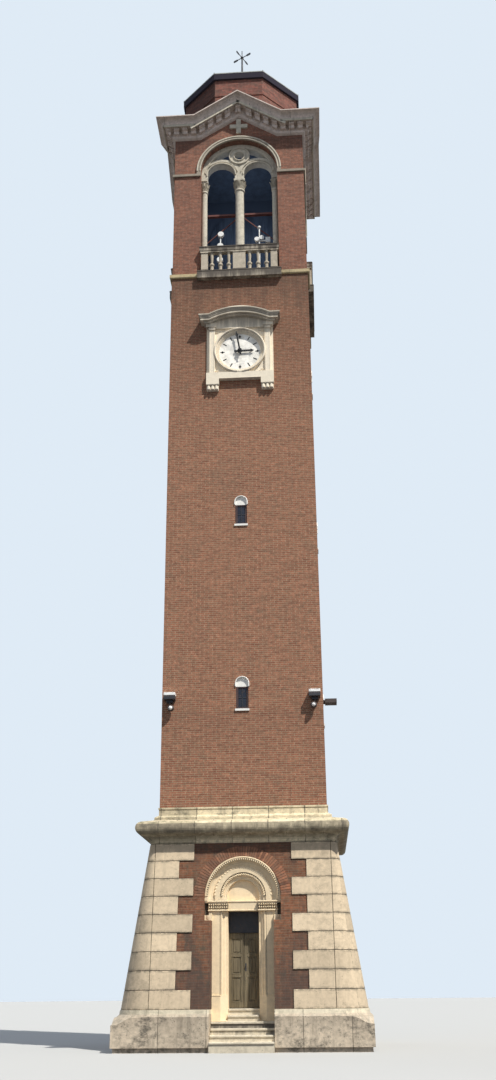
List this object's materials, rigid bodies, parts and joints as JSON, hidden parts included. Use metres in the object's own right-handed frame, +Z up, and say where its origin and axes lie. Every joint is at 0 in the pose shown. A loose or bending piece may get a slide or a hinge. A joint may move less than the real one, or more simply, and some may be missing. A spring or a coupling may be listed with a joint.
{
  "type": "bell tower",
  "caption": "Square brick bell tower: battered quoined base with arched portal, wall clock, arched open belfry, gabled cornice and octagonal drum.",
  "frame": {"origin": "middle of the tower's square plan, on the ground under the base", "axes": "+X to the viewer's right of the entrance front, -Y out of the entrance front, +Z up"},
  "size_m": [6.96, 7.1, 38.6627],
  "materials": {
    "brick": "matt fired brick with lime joints",
    "stone": "sawn pale limestone, weathered",
    "weathered_stone": "grey weathered limestone",
    "door_wood": "old oiled wood",
    "iron": "dull dark paint",
    "roof_metal": "dull dark sheet",
    "dial": "white enamel paint",
    "hand_metal": "black paint",
    "lamp_housing": "grey and white paint",
    "bell_beam": "red oxide paint",
    "louvre_wood": "dark weathered boards"
  },
  "bodies": {
    "tower": {"plinth_front_left": "stone", "plinth_front_right": "stone", "plinth_left": "stone", "plinth_right": "stone", "plinth_back": "stone", "plinth_cap": "stone", "base_wall_front_left": "brick", "base_wall_front_right": "brick", "base_wall_over_door": "brick", "base_wall_left": "brick", "base_wall_right": "brick", "base_wall_back": "brick", "quoin_corners": "stone", "entrance_steps": "stone", "portal_jamb_left": "stone", "portal_jamb_right": "stone", "portal_tympanum": "stone", "portal_arch": "stone", "door_frame": "iron", "ground_floor": "weathered_stone", "base_cornice": "stone", "shaft_front": "brick", "shaft_back": "brick", "shaft_left": "brick", "shaft_right": "brick", "window_stones": "stone", "clock_case": "stone", "clock_dial": "dial", "shaft_floodlights": "lamp_housing", "belfry_ledge": "weathered_stone", "belfry_floor": "weathered_stone", "belfry_front": "brick", "belfry_back": "brick", "belfry_left": "brick", "belfry_right": "brick", "tracery_front": "stone", "tracery_back": "stone", "tracery_left": "stone", "tracery_right": "stone", "balcony_front": "weathered_stone", "balcony_back": "weathered_stone", "balcony_left": "weathered_stone", "balcony_right": "weathered_stone", "belfry_string": "stone", "bell_frame": "bell_beam", "belfry_lamps": "lamp_housing", "belfry_louvres": "louvre_wood", "top_cornice": "weathered_stone", "gable_crosses": "stone", "belfry_roof": "roof_metal", "drum": "brick", "drum_roof": "roof_metal", "finial": "iron"},
    "left_door_leaf": {"door_leaf_left": "door_wood"},
    "right_door_leaf": {"door_leaf_right": "door_wood"},
    "minute_hand": {"clock_minute_hand": "hand_metal"},
    "hour_hand": {"clock_hour_hand": "hand_metal"}
  },
  "joints": [
    {"name": "left_door_hinge", "type": "hinge", "parent": "tower", "child": "left_door_leaf", "pos_m": [-0.4, -2.2225, 1.5], "axis": [0, 0, 1], "range_deg": [0, 90]},
    {"name": "right_door_hinge", "type": "hinge", "parent": "tower", "child": "right_door_leaf", "pos_m": [0.4, -2.2225, 1.5], "axis": [0, 0, -1], "range_deg": [0, 90]},
    {"name": "minute_hand_arbor", "type": "hinge", "parent": "tower", "child": "minute_hand", "pos_m": [0, -2.603, 22], "axis": [0, 1, 0], "continuous": true},
    {"name": "hour_hand_arbor", "type": "hinge", "parent": "tower", "child": "hour_hand", "pos_m": [0, -2.531, 22], "axis": [0, 1, 0], "continuous": true}
  ],
  "couplings": [
    {"joint": "hour_hand_arbor", "follows": "minute_hand_arbor", "ratio": 0.083333}
  ]
}
